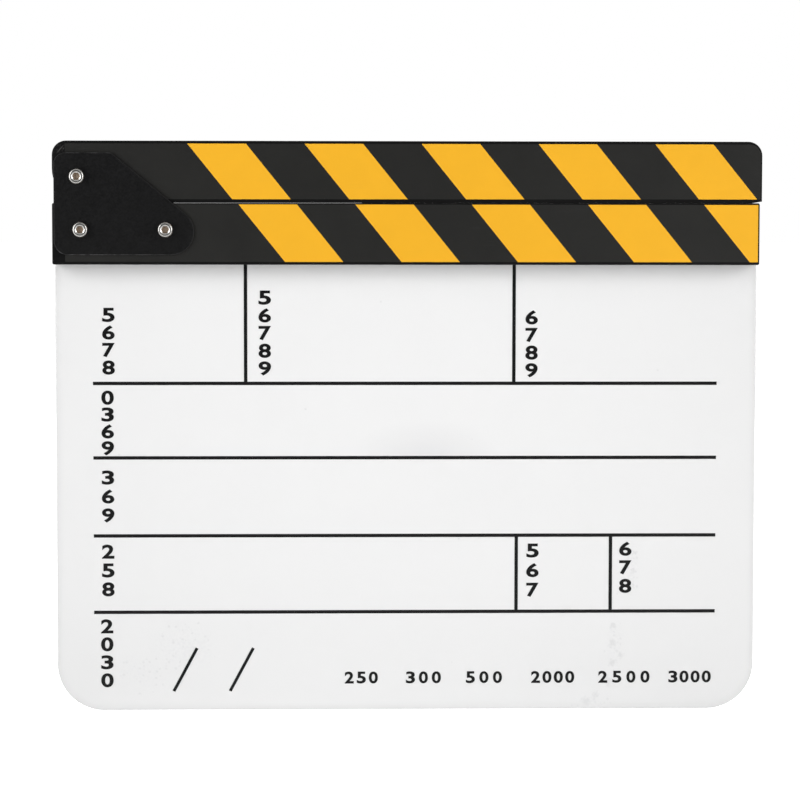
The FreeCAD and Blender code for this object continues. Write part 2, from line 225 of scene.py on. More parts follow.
def wipeMarksGroup():
    # thin streaks left by wiping, gathered in patches
    tree, given, result = newGroup("wipeMarks", ["Scale", "Amount"], "Mask")
    drawn = mapped(tree, given["Place"], scale=effects["streakStretch"], turn=effects["streakTurn"])
    lines = noise(tree, drawn, given["Scale"], detail=3.0, roughness=0.7)
    streaks = remap(tree, lines, *effects["streaks"])
    patchScale = calc(tree, "MULTIPLY", given["Scale"], effects["patchScale"])
    patches = remap(tree, noise(tree, given["Place"], patchScale, detail=3.0), *effects["streakPatches"])
    marks = calc(tree, "MULTIPLY", streaks, patches)
    tree.links.new(calc(tree, "MULTIPLY", marks, given["Amount"]), result["Mask"])
    return tree


def grimeAndShadeInRecessesGroup():
    # dirt and oil in sockets, slots and threads, with painted shade: darker where the surface is closed in
    tree, given, result = newGroup("grimeAndShadeInRecesses", ["Reach", "Amount"], "Mask")
    inputs = {"Distance": given["Reach"]}
    openness = addNode(tree, "ShaderNodeAmbientOcclusion", inputs, samples=8, only_local=True)
    closed = remap(tree, openness.outputs["AO"], *effects["closedCorner"])
    tree.links.new(calc(tree, "MULTIPLY", closed, given["Amount"]), result["Mask"])
    return tree


def turnedRingsGroup():
    # lathe marks round an axis along Y
    tree, given, result = newGroup("turnedRings", ["Scale"], "Height")
    inputs = {"Vector": given["Place"], "Scale": given["Scale"], "Detail": 2.0}
    inputs["Distortion"] = effects["ringWobble"]
    rings = addNode(tree, "ShaderNodeTexWave", inputs, wave_type="RINGS", rings_direction="Y")
    tree.links.new(rings.outputs["Fac"], result["Height"])
    return tree


fineGrain = fineGrainGroup()
mottle = mottleGroup()
edgeWear = edgeWearGroup()
rimWearAndHighlight = rimWearAndHighlightGroup()
dulledSides = dulledSidesGroup()
wipeMarks = wipeMarksGroup()
grimeAndShadeInRecesses = grimeAndShadeInRecessesGroup()
turnedRings = turnedRingsGroup()
print("effects:", len(bpy.data.node_groups), "node groups")


def effect(tree, group, place, **values):
    inputs = {"Place": place}
    inputs.update(values)
    return addNode(tree, "ShaderNodeGroup", inputs, node_tree=group).outputs[0]


def newFinish(name, specular):
    material = bpy.data.materials.new(name)
    material.use_nodes = True
    tree = material.node_tree
    shader = tree.nodes["Principled BSDF"]
    shader.inputs["Specular IOR Level"].default_value = specular
    place = addNode(tree, "ShaderNodeTexCoord").outputs["Object"]
    return material, tree, shader, place


def feed(tree, shader, **sockets):
    names = {"colour": "Base Color", "metal": "Metallic", "roughness": "Roughness", "normal": "Normal"}
    for key, socket in sockets.items():
        tree.links.new(socket, shader.inputs[names[key]])


def mottled(tree, place, finish, drift):
    # the finish's own colour with a slow drift of tone
    tone = effect(tree, mottle, place, Scale=finish["toneScale"], Amount=drift)
    return blendColour(tree, 1.0, finish["colour"], tone, "MULTIPLY")


def dress(nodes, material):
    for node in nodes:
        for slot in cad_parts[node].material_slots:
            slot.material = material


# Opal acrylic sheet, written on and wiped clean

through = 60 * mm                         # a mark on the sheet reaches this far along Y
acrylic = {
    "colour": (0.868, 0.868, 0.868, 1),
    "residueDustAndReflectionColour": (0.78, 0.78, 0.785, 1),
    "speckColour": (0.72, 0.721, 0.724, 1),
    "edgeColour": (0.76, 0.765, 0.77, 1),
    "specular": 0.5,
    "roughness": 0.2,
    "wipedRoughness": 0.26,
    "paintedLightPool": ((-12 * mm, 0, 138 * mm), (240 * mm, 400 * mm, 210 * mm)),    # middle and reach of the painted pool of light
    "paintedLightLoss": 0.155,                   # painted light lost at the edge of that reach
    "rimReach": 4 * mm,                   # the sheet is a little darker this near its rim
    "rimTone": 0.9,
    "cornerRadius": 20 * mm,
    "markScale": 700.0,
    "markAmount": 0.12,
    "cloudScale": 28.0,
    "cloudSpan": (0.45, 0.75),
    "cloudAmount": 0.12,
    "dustAndReflection": ((8 * mm, 0, 109 * mm), (33 * mm, through, 17 * mm)),            # middle and reach of a painted reflection, a darker oval on the written side
    "reflectionFoot": 109 * mm,               # the painted reflection stops at the rule below
    "reflectionFade": 1 * mm,
    "dustyPlaces": [                      # middle and reach of each
        ((97 * mm, 0, 60 * mm), (4 * mm, through, 14 * mm)),
        ((90 * mm, 0, 28 * mm), (5 * mm, through, 14 * mm)),
        ((80 * mm, 0, 3 * mm), (13 * mm, through, 6 * mm)),
        ((-96 * mm, 0, 26.5 * mm), (17 * mm, through, 14 * mm)),
        ((-114 * mm, 0, 15.5 * mm), (15 * mm, through, 9 * mm)),
    ],
    "smears": [                           # X and Z of each grey mark in a trail, and its reach
        (98.3 * mm, 67.6 * mm, 1.2 * mm),
        (97.9 * mm, 60.1 * mm, 1.4 * mm),
        (97.6 * mm, 53.7 * mm, 1.1 * mm),
        (89.3 * mm, 35.8 * mm, 1.7 * mm),
        (89.0 * mm, 28.3 * mm, 1.9 * mm),
        (92.7 * mm, 23.4 * mm, 1.6 * mm),
        (89.1 * mm, 19.9 * mm, 2.1 * mm),
        (86.9 * mm, 12.2 * mm, 2.6 * mm),
        (82.0 * mm, 6.2 * mm, 1.7 * mm),
        (77.6 * mm, 3.0 * mm, 2.6 * mm),
    ],
    "smearBreakup": 650.0,
    "smearTear": 5 * mm,                  # how far their outlines are torn about
    "smearFull": 0.75,                    # how near its middle a smear is at its darkest, 1 being there
    "dustCell": 1.4 * mm,                 # room for one speck
    "speckSize": 0.7,                     # its radius, in cells
    "speckEdge": 0.7,                     # over which it fades
    "cleanShare": 0.001,                  # cells with a speck where it is clean
    "dustyShare": 0.55,
    "dustVeil": 1.4,                      # thin clouds of dust between the specks
    "veilScale": 800.0,
    "veilSpan": (0.4, 0.7),
    "edgeWidth": 0.5 * mm,
    "edgeBreakup": 120.0,
    "edgeAmount": 0.8,
    "waveScale": 14.0,                    # the sheet isn't quite flat
    "waveStrength": 0.05,
    "waveHeight": 2 * mm,
}


def rimNearness(tree, place):
    # 1 at the sheet's sides, foot and round corners, 0 from a little way in
    low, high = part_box("slate_board")
    radius = acrylic["cornerRadius"]
    parts = separated(tree, place)
    sideways = calc(tree, "SUBTRACT", calc(tree, "ABSOLUTE", parts["X"]), high.x - radius)
    downwards = calc(tree, "SUBTRACT", low.z + radius, parts["Z"])
    inputs = {"X": calc(tree, "MAXIMUM", sideways, 0.0), "Y": calc(tree, "MAXIMUM", downwards, 0.0)}
    outwards = addNode(tree, "ShaderNodeCombineXYZ", inputs).outputs["Vector"]
    nearness = remap(tree, lengthOf(tree, outwards), radius - acrylic["rimReach"], radius)
    return calc(tree, "MULTIPLY", nearness, nearness)


def dustZones(tree, place):
    # 1 at the middle of each dusty place
    total = 0.0
    for zone in acrylic["dustyPlaces"]:
        total = calc(tree, "MAXIMUM", softSpot(tree, place, *zone), total)
    return total


def smearTrail(tree, place):
    # soft grey marks with torn outlines
    inputs = {"Vector": place, "Scale": acrylic["smearBreakup"], "Detail": 3.0}
    drift = addNode(tree, "ShaderNodeTexNoise", inputs).outputs["Color"]
    centred = addNode(tree, "ShaderNodeVectorMath", {0: drift, 1: (0.5, 0.5, 0.5)}, operation="SUBTRACT")
    inputs = {0: centred.outputs["Vector"], 1: [acrylic["smearTear"]] * 3, 2: place}
    torn = addNode(tree, "ShaderNodeVectorMath", inputs, operation="MULTIPLY_ADD").outputs["Vector"]
    total = 0.0
    for x, z, reach in acrylic["smears"]:
        spot = softSpot(tree, torn, (x, 0, z), (reach, through, reach))
        total = calc(tree, "MAXIMUM", spot, total)
    return remap(tree, total, 0.0, acrylic["smearFull"])


def dustSpecks(tree, place, dusty):
    parts = separated(tree, place)
    flat = addNode(tree, "ShaderNodeCombineXYZ", {"X": parts["X"], "Y": parts["Z"]}).outputs["Vector"]
    inputs = {"Vector": flat, "Scale": 1 / acrylic["dustCell"]}
    cells = addNode(tree, "ShaderNodeTexVoronoi", inputs, voronoi_dimensions="2D").outputs
    chance = addNode(tree, "ShaderNodeSeparateColor", {0: cells["Color"]}).outputs
    share = calc(tree, "MULTIPLY_ADD", dusty, acrylic["dustyShare"], acrylic["cleanShare"])
    kept = calc(tree, "LESS_THAN", chance["Red"], share)
    size = calc(tree, "MULTIPLY", chance["Green"], acrylic["speckSize"])
    dots = remap(tree, calc(tree, "SUBTRACT", size, cells["Distance"]), 0.0, acrylic["speckEdge"])
    return calc(tree, "MULTIPLY", dots, kept)


def paintedSheetLight(tree, place):
    # painted light: brightest at one place and a little darker outwards; also a little darker at the rim
    outwards = calc(tree, "SUBTRACT", 1.0, softSpot(tree, place, *acrylic["paintedLightPool"]))
    lost = calc(tree, "MULTIPLY", outwards, outwards)
    outer = calc(tree, "MULTIPLY_ADD", lost, -acrylic["paintedLightLoss"], 1.0)
    rim = remap(tree, rimNearness(tree, place), 0.0, 1.0, 1.0, acrylic["rimTone"])
    return calc(tree, "MULTIPLY", outer, rim)


def acrylicFinish():
    material, tree, shader, place = newFinish("opalAcrylic", acrylic["specular"])
    marks = effect(tree, wipeMarks, place, Scale=acrylic["markScale"], Amount=acrylic["markAmount"])
    clouds = noise(tree, place, acrylic["cloudScale"], detail=4.0, roughness=0.6)
    cloud = remap(tree, clouds, *acrylic["cloudSpan"], 0.0, acrylic["cloudAmount"])
    parts = separated(tree, place)
    written = calc(tree, "LESS_THAN", parts["Y"], 0.0)
    foot = acrylic["reflectionFoot"]
    above = remap(tree, parts["Z"], foot, foot + acrylic["reflectionFade"])
    # painted reflection: a darker oval on the written side, above the rule
    spot = calc(tree, "MULTIPLY", softSpot(tree, place, *acrylic["dustAndReflection"]), above)
    dusty = dustZones(tree, place)
    veils = noise(tree, place, acrylic["veilScale"], detail=3.0)
    veil = remap(tree, veils, *acrylic["veilSpan"], 0.0, acrylic["dustVeil"])
    # dust veils in the dusty places, plus the painted reflection
    dustAndReflection = calc(tree, "MULTIPLY", calc(tree, "MULTIPLY_ADD", dusty, veil, spot), written)
    residueAndReflection = calc(tree, "MAXIMUM", calc(tree, "ADD", cloud, marks), dustAndReflection)
    specks = calc(tree, "MAXIMUM", dustSpecks(tree, place, dusty), smearTrail(tree, place))
    specks = calc(tree, "MULTIPLY", specks, written)
    # the sheet's colour carries a painted pool of light, brightest in one place and darker outwards
    sheet = blendColour(tree, 1.0, acrylic["colour"], paintedSheetLight(tree, place), "MULTIPLY")
    # wipe residue, dust and the painted reflection grey the sheet's colour
    wiped = blendColour(tree, residueAndReflection, sheet, acrylic["residueDustAndReflectionColour"])
    colour = blendColour(tree, specks, wiped, acrylic["speckColour"])
    edge = effect(tree, edgeWear, place, Width=acrylic["edgeWidth"], Breakup=acrylic["edgeBreakup"],
                  Amount=acrylic["edgeAmount"])
    waves = noise(tree, place, acrylic["waveScale"], detail=1.0)
    feed(tree, shader,
         colour=blendColour(tree, edge, colour, acrylic["edgeColour"]),
         roughness=remap(tree, residueAndReflection, 0.0, 1.0, acrylic["roughness"], acrylic["wipedRoughness"]),
         normal=bumped(tree, waves, acrylic["waveStrength"], acrylic["waveHeight"]))
    return material


# Screen print and numerals

ink = {
    "colour": (0.0035, 0.0035, 0.0036, 1),
    "thinColour": (0.009, 0.009, 0.0092, 1),
    "specular": 0.2,
    "thinScale": 420.0,
    "thinSpan": (0.45, 0.75),
    "thinAmount": 0.6,
    "roughness": (0.3, 0.42),             # where it is thick, and where it is thinnest
    "grainScale": 3500.0,
    "grainStrength": 0.2,
    "grainHeight": 0.03 * mm,
}


def inkFinish():
    material, tree, shader, place = newFinish("screenPrint", ink["specular"])
    layer = noise(tree, place, ink["thinScale"], detail=3.0, roughness=0.6)
    thin = remap(tree, layer, *ink["thinSpan"], 0.0, ink["thinAmount"])
    grain = effect(tree, fineGrain, place, Scale=ink["grainScale"])
    feed(tree, shader,
         colour=blendColour(tree, thin, ink["colour"], ink["thinColour"]),
         roughness=remap(tree, thin, 0.0, ink["thinAmount"], *ink["roughness"]),
         normal=bumped(tree, grain, ink["grainStrength"], ink["grainHeight"]))
    return material


# Painted wooden sticks

paint = {
    "colour": (0.004, 0.004, 0.0041, 1),
    "wearAndHighlightColour": (0.09, 0.087, 0.083, 1),
    "specular": 0.15,
    "toneScale": 60.0,
    "toneDrift": 0.25,
    "heelHighlightAndWear": ((-148 * mm, -11 * mm, 242 * mm), (9 * mm, 9 * mm, 9 * mm)),     # middle and reach of the painted highlight and rubbed paint about the heel
    "scuffs": [                          # middle, reach and lean of each painted highlight line on the heel's rounded rim
        ((-146.7 * mm, -11 * mm, 240.6 * mm), (2.9 * mm, 4 * mm, 0.3 * mm), math.radians(49)),
        ((-145.4 * mm, -11 * mm, 240.8 * mm), (0.5 * mm, 4 * mm, 0.3 * mm), math.radians(60)),
    ],
    "rimBreakup": 160.0,
    "rimShare": 0.06,                    # wear of the rims away from the heel
    "rubScale": 1100.0,
    "rubSpan": (0.45, 0.7),
    "rubAmount": 0.25,
    "sideBreakup": 90.0,
    "sideDullness": 0.4,
    "levelDullness": 0.45,               # roughness that handling and clapping add to level faces
    "levelSpan": (0.9, 0.98),            # how squarely such a face looks up or down
    "fibreStretch": (0.05, 1.0, 1.0),    # along the stick
    "fibreScale": 900.0,
    "fibreRoughness": (0.3, 0.7, 0.28, 0.36),
    "fibreStrength": 0.15,
    "fibreHeight": 0.08 * mm,
}


def levelFaces(tree):
    # 1 on the tops and undersides, which are also the faces where the sticks meet
    return remap(tree, calc(tree, "ABSOLUTE", turnedTo(tree)["Z"]), *paint["levelSpan"])


def paintWearAndHeelHighlight(tree, place):
    # rubbed rims, and about the heel a painted highlight on the rims, lighter rubbed patches and painted
    # highlight lines
    rims = effect(tree, rimWearAndHighlight, place, Breakup=paint["rimBreakup"], Amount=1.0, Topside=0.0, Underside=0.0)
    heel = softSpot(tree, place, *paint["heelHighlightAndWear"])
    rubbing = remap(tree, noise(tree, place, paint["rubScale"], detail=3.0), *paint["rubSpan"],
                    0.0, paint["rubAmount"])
    # rims about the heel get a painted highlight; elsewhere they are only lightly rubbed
    worn = calc(tree, "MULTIPLY", rims, calc(tree, "ADD", heel, paint["rimShare"]))
    worn = calc(tree, "MAXIMUM", worn, calc(tree, "MULTIPLY", heel, rubbing))
    for heelHighlightLine in paint["scuffs"]:
        worn = calc(tree, "MAXIMUM", worn, softSpot(tree, place, *heelHighlightLine))
    return worn


def paintFinish():
    material, tree, shader, place = newFinish("satinBlackPaint", paint["specular"])
    drawn = mapped(tree, place, paint["fibreStretch"])
    fibres = noise(tree, drawn, paint["fibreScale"], detail=4.0, roughness=0.65)
    sides = effect(tree, dulledSides, place, Breakup=paint["sideBreakup"], Amount=paint["sideDullness"])
    level = calc(tree, "MULTIPLY", levelFaces(tree), paint["levelDullness"])
    dulled = calc(tree, "MAXIMUM", sides, level)
    colour = mottled(tree, place, paint, paint["toneDrift"])
    feed(tree, shader,
         colour=blendColour(tree, paintWearAndHeelHighlight(tree, place), colour, paint["wearAndHighlightColour"]),
         roughness=calc(tree, "ADD", remap(tree, fibres, *paint["fibreRoughness"]), dulled),
         normal=bumped(tree, fibres, paint["fibreStrength"], paint["fibreHeight"]))
    return material


# Self-adhesive vinyl on the sticks: charcoal sheet and golden stripes

vinyls = {
    "charcoalVinyl": {
        "colour": (0.0148, 0.0146, 0.0136, 1),
        "wearAndHighlightColour": (0.05, 0.048, 0.045, 1),
        "specular": 0.33,
        "toneScale": 45.0,
        "toneDrift": 0.14,
    },
    "goldenVinyl": {
        "colour": (0.87, 0.44, 0.02, 1),
        "wearAndHighlightColour": (0.62, 0.33, 0.03, 1),
        "specular": 0.4,
        "toneScale": 45.0,
        "toneDrift": 0.025,
    },
}
vinylSurface = {
    "scuffScale": 900.0,
    "scuffAmount": 0.35,
    "scuffShare": 0.4,
    "edgeWidth": 0.25 * mm,
    "edgeBreakup": 220.0,
    "edgeAmount": 0.6,
    "roughness": (0.3, 0.42),             # clean, and where it is scuffed most
    "grainScale": 2600.0,
    "grainStrength": 0.15,
    "grainHeight": 0.03 * mm,
}


def vinylFinish(name):
    vinyl = vinyls[name]
    surface = vinylSurface
    material, tree, shader, place = newFinish(name, vinyl["specular"])
    grain = effect(tree, fineGrain, place, Scale=surface["grainScale"])
    scuffs = effect(tree, wipeMarks, place, Scale=surface["scuffScale"], Amount=surface["scuffAmount"])
    worn = effect(tree, edgeWear, place, Width=surface["edgeWidth"], Breakup=surface["edgeBreakup"],
                  Amount=surface["edgeAmount"])
    colour = mottled(tree, place, vinyl, vinyl["toneDrift"])
    rubbed = calc(tree, "MAXIMUM", worn, calc(tree, "MULTIPLY", scuffs, surface["scuffShare"]))
    feed(tree, shader,
         colour=blendColour(tree, rubbed, colour, vinyl["wearAndHighlightColour"]),
         roughness=remap(tree, scuffs, 0.0, surface["scuffAmount"], *surface["roughness"]),
         normal=bumped(tree, grain, surface["grainStrength"], surface["grainHeight"]))
    return material


# Powder coated hinge plates

plate = {
    "colour": (0.0036, 0.0036, 0.0038, 1),
    # the rims' colour: rubbed powder coat, and a painted highlight on the top and bottom rims
    "wearAndHighlightColour": (0.13, 0.13, 0.134, 1),
    "specular": 0.25,
    "toneScale": 110.0,
    "toneDrift": 0.08,
    "scuffScale": 800.0,
    "scuffAmount": 0.25,
    "scuffShare": 0.3,
    "footHighlight": ((-140 * mm, -13 * mm, 196 * mm), (55 * mm, 30 * mm, 30 * mm)),  # middle and reach of the painted highlight on the bottom rim
    "footSpan": (0.2, 0.9),
    "rimBreakup": 320.0,
    "rimWearAndHighlight": 0.05,
    "topsideHighlight": 0.5,
    "sideBreakup": 90.0,
    "sideDullness": 0.45,
    "grainScale": 1500.0,
    "grainTone": (0.5, 0.9, 0.6, 1.4),
    "grainRoughness": (0.4, 1.0, 0.28, 0.38),
    "grainStrength": 0.3,
    "grainHeight": 0.06 * mm,
}


def plateFinish():
    material, tree, shader, place = newFinish("blackPowderCoat", plate["specular"])
    grain = effect(tree, fineGrain, place, Scale=plate["grainScale"])
    tone = effect(tree, mottle, place, Scale=plate["toneScale"], Amount=plate["toneDrift"])
    scuffs = effect(tree, wipeMarks, place, Scale=plate["scuffScale"], Amount=plate["scuffAmount"])
    # painted highlight along the bottom rim, strongest at the left, and along the top rim
    foot = remap(tree, softSpot(tree, place, *plate["footHighlight"]), *plate["footSpan"])
    worn = effect(tree, rimWearAndHighlight, place, Breakup=plate["rimBreakup"], Amount=plate["rimWearAndHighlight"],
                  Topside=plate["topsideHighlight"], Underside=foot)
    dulled = effect(tree, dulledSides, place, Breakup=plate["sideBreakup"], Amount=plate["sideDullness"])
    pebbled = calc(tree, "MULTIPLY", tone, remap(tree, grain, *plate["grainTone"]))
    colour = blendColour(tree, 1.0, plate["colour"], pebbled, "MULTIPLY")
    rubbed = calc(tree, "MAXIMUM", worn, calc(tree, "MULTIPLY", scuffs, plate["scuffShare"]))
    feed(tree, shader,
         colour=blendColour(tree, rubbed, colour, plate["wearAndHighlightColour"]),
         roughness=calc(tree, "ADD", remap(tree, grain, *plate["grainRoughness"]), dulled),
         normal=bumped(tree, grain, plate["grainStrength"], plate["grainHeight"]))
    return material


# Fasteners, turned on a lathe: each row of them has its rings about its own axes

steel = {
    "colour": (0.47, 0.462, 0.445, 1),
    "grimeAndShadeColour": (0.36, 0.27, 0.19, 1),
    "specular": 0.5,
    "toneScale": 300.0,
    "toneDrift": 0.12,
    "grimeAndShadeReach": 3 * mm,
    "grimeAndShadeAmount": 0.95,
    "grimeAndShadeMetal": 0.1,                    # how metallic the thickest grime and painted shade still look
    "roughness": 0.2,
    "grimeAndShadeRoughness": 0.2,                # added where the grime and painted shade lie, and by the rings
    "ringRoughness": 0.05,
    "ringScale": 1300.0,
    "ringStrength": 0.06,
    "ringHeight": 0.02 * mm,
}


def rowOfAxes(node, count):
    low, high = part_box(node)
    radius = (high.z - low.z) / 2
    step = (high.x - low.x - 2 * radius) / (count - 1) if count > 1 else 1.0
    return {"x": low.x + radius, "z": (low.z + high.z) / 2, "step": step}


def aboutAxes(tree, place, axes):
    # object coordinates, brought back to the nearest axis of the row
    parts = separated(tree, mapped(tree, place, shift=(-axes["x"], 0, -axes["z"])))
    half = axes["step"] / 2
    wrapped = calc(tree, "WRAP", parts["X"], half, -half)
    inputs = {"X": wrapped, "Y": parts["Y"], "Z": parts["Z"]}
    return addNode(tree, "ShaderNodeCombineXYZ", inputs).outputs["Vector"]


def steelFinish(name, axes):
    material, tree, shader, place = newFinish(name, steel["specular"])
    rings = effect(tree, turnedRings, aboutAxes(tree, place, axes), Scale=steel["ringScale"])
    grimeAndShade = effect(tree, grimeAndShadeInRecesses, place, Reach=steel["grimeAndShadeReach"], Amount=steel["grimeAndShadeAmount"])
    colour = mottled(tree, place, steel, steel["toneDrift"])
    dirty = calc(tree, "MULTIPLY_ADD", grimeAndShade, steel["grimeAndShadeRoughness"], steel["roughness"])
    feed(tree, shader,
         # grime and painted shade darken the sockets and recesses
         colour=blendColour(tree, grimeAndShade, colour, steel["grimeAndShadeColour"]),
         metal=remap(tree, grimeAndShade, 0.0, 1.0, 1.0, steel["grimeAndShadeMetal"]),
         roughness=calc(tree, "MULTIPLY_ADD", rings, steel["ringRoughness"], dirty),
         normal=bumped(tree, rings, steel["ringStrength"], steel["ringHeight"]))
    return material


# Nylon washers and nut rings, and the brass bush

nylon = {
    "colour": (0.74, 0.73, 0.67, 1),
    "grimeAndShadeColour": (0.42, 0.38, 0.31, 1),
    "specular": 0.45,
    "toneScale": 240.0,
    "toneDrift": 0.06,
    "grimeAndShadeReach": 0.8 * mm,
    "grimeAndShadeAmount": 0.6,
    "grainScale": 2200.0,
    "grainRoughness": (0.3, 1.0, 0.38, 0.5),
    "grainStrength": 0.2,
    "grainHeight": 0.04 * mm,
}
brass = {
    "colour": (0.74, 0.5, 0.19, 1),
    "tarnishColour": (0.36, 0.22, 0.09, 1),
    "specular": 0.5,
    "tarnishScale": 380.0,
    "tarnishSpan": (0.45, 0.7),
    "tarnishAmount": 0.7,
    "roughness": (0.22, 0.42),            # bright, and where it is tarnished most
    "ringScale": 1300.0,
    "ringStrength": 0.12,
    "ringHeight": 0.02 * mm,
}


def nylonFinish():
    material, tree, shader, place = newFinish("naturalNylon", nylon["specular"])
    grain = effect(tree, fineGrain, place, Scale=nylon["grainScale"])
    grimeAndShade = effect(tree, grimeAndShadeInRecesses, place, Reach=nylon["grimeAndShadeReach"], Amount=nylon["grimeAndShadeAmount"])
    colour = mottled(tree, place, nylon, nylon["toneDrift"])
    feed(tree, shader,
         colour=blendColour(tree, grimeAndShade, colour, nylon["grimeAndShadeColour"]),
         roughness=remap(tree, grain, *nylon["grainRoughness"]),
         normal=bumped(tree, grain, nylon["grainStrength"], nylon["grainHeight"]))
    return material


def brassFinish(axes):
    material, tree, shader, place = newFinish("turnedBrass", brass["specular"])
    shader.inputs["Metallic"].default_value = 1.0
    rings = effect(tree, turnedRings, aboutAxes(tree, place, axes), Scale=brass["ringScale"])
    patches = noise(tree, place, brass["tarnishScale"], detail=4.0)
    tarnish = remap(tree, patches, *brass["tarnishSpan"], 0.0, brass["tarnishAmount"])
    feed(tree, shader,
         colour=blendColour(tree, tarnish, brass["colour"], brass["tarnishColour"]),
         roughness=remap(tree, tarnish, 0.0, brass["tarnishAmount"], *brass["roughness"]),
         normal=bumped(tree, rings, brass["ringStrength"], brass["ringHeight"]))
    return material


screenPrint = inkFinish()
pivotAxis = rowOfAxes("pivot_nut_washer", count=1)
stickAxes = rowOfAxes("stick_nut_washers", count=2)
screwAxes = rowOfAxes("board_screw_washers", count=3)
dress(["slate_board"], acrylicFinish())
dress(["slate_grid_print"], screenPrint)
dress(["lower_stick", "upper_stick"], paintFinish())
dress(["lower_stripe_film", "upper_stripe_film"], vinylFinish("charcoalVinyl"))
dress(["lower_yellow_stripes", "upper_yellow_stripes"], vinylFinish("goldenVinyl"))
dress(["front_hinge_plate", "rear_hinge_plate"], plateFinish())
dress(["pivot_bolt", "pivot_nut", "pivot_nut_washer"], steelFinish("pivotSteel", pivotAxis))
dress(["stick_bolts", "stick_nuts", "stick_nut_washers"], steelFinish("stickBoltSteel", stickAxes))
dress(["board_screws", "board_screw_washers"], steelFinish("boardScrewSteel", screwAxes))
dress(["pivot_front_washer", "pivot_rear_spacer", "pivot_nut_insert", "stick_nut_inserts"], nylonFinish())
dress(["pivot_bush"], brassFinish(pivotAxis))
print("finishes:", len(bpy.data.materials), "materials")


# Numerals in the fields of the slate: plain figures, stacked in each field and in a row at the foot

numerals = {
    "stackFigure": (5.3, 6.1),    # width and height, millimetres
    "rowFigure": (3.9, 5.2),
    "weight": 0.03,               # how far each stroke is fattened, in figure sizes
    "curveSteps": 8,
    "weld": 0.001,                # corners this near each other become one
    "stacks": [                   # figures, then the stack's middle in X and its foot and top in Z
        ("5678", -127.5, 144.7, 173.3),
        ("56789", -60.8, 144.3, 180.7),
        ("6789", 53.5, 143.5, 172.3),
        ("0369", -128.0, 110.1, 137.9),
        ("369", -128.0, 81.2, 103.6),
        ("258", -128.1, 49.3, 71.7),
        ("567", 54.3, 48.7, 71.8),
        ("678", 94.4, 50.3, 72.5),
        ("2030", -128.7, 9.9, 39.4),
    ],
    "row": [                      # figures, then their left and right in X
        ("250", -26.6, -12.3),
        ("300", -0.2, 14.9),
        ("500", 25.7, 41.3),
        ("2000", 53.9, 72.6),
        ("2500", 83.0, 105.2),
        ("3000", 113.4, 131.8),
    ],
    "rowFoot": 11.2,
}


def figureMesh(figure):
    curve = bpy.data.curves.new("figure", "FONT")
    curve.body = figure
    curve.offset = numerals["weight"]
    curve.extrude = 0.5           # any depth will do, it is scaled below
    curve.resolution_u = numerals["curveSteps"]
    holder = bpy.data.objects.new("figure", curve)
    scene.collection.objects.link(holder)
    graph = bpy.context.evaluated_depsgraph_get()
    mesh = bpy.data.meshes.new_from_object(holder.evaluated_get(graph))
    bpy.data.objects.remove(holder)
    bpy.data.curves.remove(curve)
    return mesh


def setFigure(shape, figure, left, foot, width, height):
    # sets one figure on the sheet's face, as thick as the printed rules
    mesh = figureMesh(figure)
    low = Vector([min(v.co[i] for v in mesh.vertices) for i in range(3)])
    high = Vector([max(v.co[i] for v in mesh.vertices) for i in range(3)])
    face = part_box("slate_board")[0].y
    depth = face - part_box("slate_grid_print")[0].y
    size = Vector((width * mm, height * mm, depth))
    scale = Matrix.Diagonal([size[i] / (high[i] - low[i]) for i in range(3)]).to_4x4()
    stand = Matrix.Rotation(math.radians(90), 4, "X")
    corner = Matrix.Translation((left * mm, face, foot * mm))
    mesh.transform(corner @ stand @ scale @ Matrix.Translation(-low))
    shape.from_mesh(mesh)
    bpy.data.meshes.remove(mesh)


def makeNumerals():
    shape = bmesh.new()
    width, height = numerals["stackFigure"]
    for figures, middle, foot, top in numerals["stacks"]:
        step = (top - foot - height) / (len(figures) - 1)
        for i, figure in enumerate(reversed(figures)):
            setFigure(shape, figure, middle - width / 2, foot + i * step, width, height)
    width, height = numerals["rowFigure"]
    for figures, left, right in numerals["row"]:
        step = (right - left - width) / (len(figures) - 1)
        for i, figure in enumerate(figures):
            setFigure(shape, figure, left + i * step, numerals["rowFoot"], width, height)
    bmesh.ops.remove_doubles(shape, verts=shape.verts, dist=numerals["weld"] * mm)
    bmesh.ops.recalc_face_normals(shape, faces=shape.faces)
    mesh = bpy.data.meshes.new("slate_numerals")
    shape.to_mesh(mesh)
    shape.free()
    piece = bpy.data.objects.new("slate_numerals", mesh)
    scene.collection.objects.link(piece)
    piece.data.materials.append(screenPrint)
    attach(piece, "slate")
    return piece


slateNumerals = makeNumerals()
print("numerals:", len(slateNumerals.data.polygons), "faces")


# Floor, surroundings and softboxes

